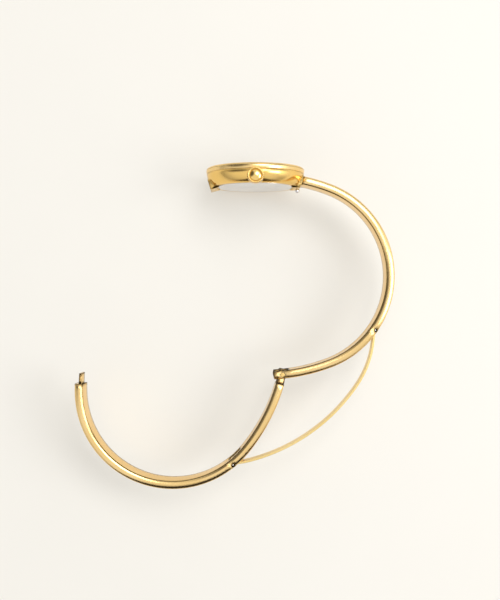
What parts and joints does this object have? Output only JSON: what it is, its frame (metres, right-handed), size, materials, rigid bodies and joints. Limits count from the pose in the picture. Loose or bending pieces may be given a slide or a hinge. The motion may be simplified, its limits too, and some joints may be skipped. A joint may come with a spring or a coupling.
{
  "type": "bangle watch",
  "caption": "Slim gold bangle watch with a round case, a hinged hoop that a bow spring snaps open or shut, and a crown.",
  "frame": {"origin": "centre of the case back's outer face", "axes": "+Y out through the crystal, +Z along the stem to the crown, +X to twelve o'clock; the part lies on its side"},
  "size_m": [0.0785, 0.0789, 0.0266],
  "materials": {
    "gold": "polished gold plate",
    "gold_crown": "polished gold plate, knurled rim",
    "gold_spring": "gold plated spring strip, satin",
    "gold_hands": "polished gold plate",
    "steel": "brushed stainless steel",
    "pin_steel": "turned and polished steel",
    "glass": "clear mineral crystal",
    "gasket_rubber": "black nitrile rubber",
    "dial_face": "cream lacquer with a fine sunray",
    "movement_metal": "nickel plated, fine grain",
    "movement_brass": "cut and gilt brass",
    "movement_plastic": "moulded plastic",
    "battery_steel": "nickel plated steel can",
    "copper_coil": "fine enamelled copper wire",
    "circuit_green": "green circuit board with gold tracks"
  },
  "bodies": {
    "fixed_half": {"right_half": "gold", "case": "gold", "bezel": "gold", "crystal": "glass", "crystal_gasket": "gasket_rubber", "case_back": "steel", "case_back_gasket": "gasket_rubber", "dial": "dial_face", "dial_ring": "dial_face", "hour_markers": "gold_hands", "crown_tube": "pin_steel", "movement_holder": "movement_plastic", "main_plate": "movement_metal", "train_bridge": "movement_metal", "bridge_screws": "pin_steel", "battery": "battery_steel", "battery_clamp": "movement_metal", "coil": "copper_coil", "coil_core": "movement_metal", "stator": "movement_metal", "circuit_board": "circuit_green", "time_chip": "movement_plastic", "quartz_can": "movement_metal", "release_bar": "steel", "release_spring": "steel", "hinge_pins": "pin_steel", "right_spring_pin": "pin_steel"},
    "free_half": {"left_half": "gold", "left_spring_pin": "pin_steel"},
    "bow_spring": {"bow_spring": "gold_spring"},
    "clutch": {"clutch_pinion": "movement_brass"},
    "crown": {"crown": "gold_crown", "stem": "pin_steel", "crown_gasket": "gasket_rubber"},
    "setting_lever": {"setting_lever": "pin_steel"},
    "minute_work": {"centre_wheel": "movement_brass", "cannon_pinion": "movement_brass", "minute_hand": "gold_hands", "hand_cap": "gold_hands"},
    "hour_work": {"hour_wheel": "movement_brass", "hour_hand": "gold_hands"},
    "minute_wheel": {"minute_wheel": "movement_brass"},
    "third_wheel": {"third_wheel": "movement_brass"},
    "intermediate_wheel": {"intermediate_wheel": "movement_brass"},
    "rotor": {"rotor": "movement_brass"},
    "release_pin": {"release_pin": "steel"}
  },
  "joints": [
    {"name": "bangle_hinge", "type": "hinge", "parent": "fixed_half", "child": "free_half", "pos_m": [0.00665, -0.04603, 0], "axis": [0, 0, -1], "range_deg": [0, 71.32]},
    {"name": "bow_spring_pivot", "type": "hinge", "parent": "fixed_half", "child": "bow_spring", "pos_m": [0.02934, -0.03515, 0], "axis": [0, 0, -1], "range_deg": [0, 35.67]},
    {"name": "crown_turn", "type": "hinge", "parent": "fixed_half", "child": "clutch", "pos_m": [0, 0.00135, 0], "axis": [0, 0, 1], "continuous": true},
    {"name": "crown_pull", "type": "slide", "parent": "clutch", "child": "crown", "axis": [0, 0, 1], "range_m": [0, 0.0006]},
    {"name": "setting_lever_pivot", "type": "hinge", "parent": "fixed_half", "child": "setting_lever", "pos_m": [0.00147, 0.00086, 0.00555], "axis": [0, 1, 0], "range_deg": [0, 28.96]},
    {"name": "minute_hand_turn", "type": "hinge", "parent": "fixed_half", "child": "minute_work", "pos_m": [0, 0, 0], "axis": [0, -1, 0], "continuous": true},
    {"name": "hour_hand_turn", "type": "hinge", "parent": "fixed_half", "child": "hour_work", "pos_m": [0, 0, 0], "axis": [0, -1, 0], "continuous": true},
    {"name": "minute_wheel_turn", "type": "hinge", "parent": "fixed_half", "child": "minute_wheel", "pos_m": [-0.00121, 0, 0.0007], "axis": [0, -1, 0], "continuous": true},
    {"name": "third_wheel_turn", "type": "hinge", "parent": "fixed_half", "child": "third_wheel", "pos_m": [0.00162, 0, 0.00043], "axis": [0, -1, 0], "continuous": true},
    {"name": "intermediate_wheel_turn", "type": "hinge", "parent": "fixed_half", "child": "intermediate_wheel", "pos_m": [0.00287, 0, -0.00029], "axis": [0, -1, 0], "continuous": true},
    {"name": "rotor_turn", "type": "hinge", "parent": "fixed_half", "child": "rotor", "pos_m": [0.00347, 0, -0.00132], "axis": [0, -1, 0], "continuous": true},
    {"name": "release_slide", "type": "slide", "parent": "fixed_half", "child": "release_pin", "axis": [0, 0, -1], "range_m": [0, 0.001], "stiffness_N_per_m": 100, "springref_m": -0.0003, "deforming": ["release_spring"]}
  ],
  "couplings": [
    {"joint": "bow_spring_pivot", "follows": "bangle_hinge", "ratio": 0.5},
    {"joint": "setting_lever_pivot", "follows": "crown_pull", "rad_per_m": 842.27},
    {"joint": "hour_hand_turn", "follows": "minute_hand_turn", "ratio": 0.083333},
    {"joint": "minute_wheel_turn", "follows": "minute_hand_turn", "ratio": -0.33333},
    {"joint": "third_wheel_turn", "follows": "minute_hand_turn", "ratio": -6},
    {"joint": "intermediate_wheel_turn", "follows": "minute_hand_turn", "ratio": 30},
    {"joint": "rotor_turn", "follows": "minute_hand_turn", "ratio": -120}
  ]
}
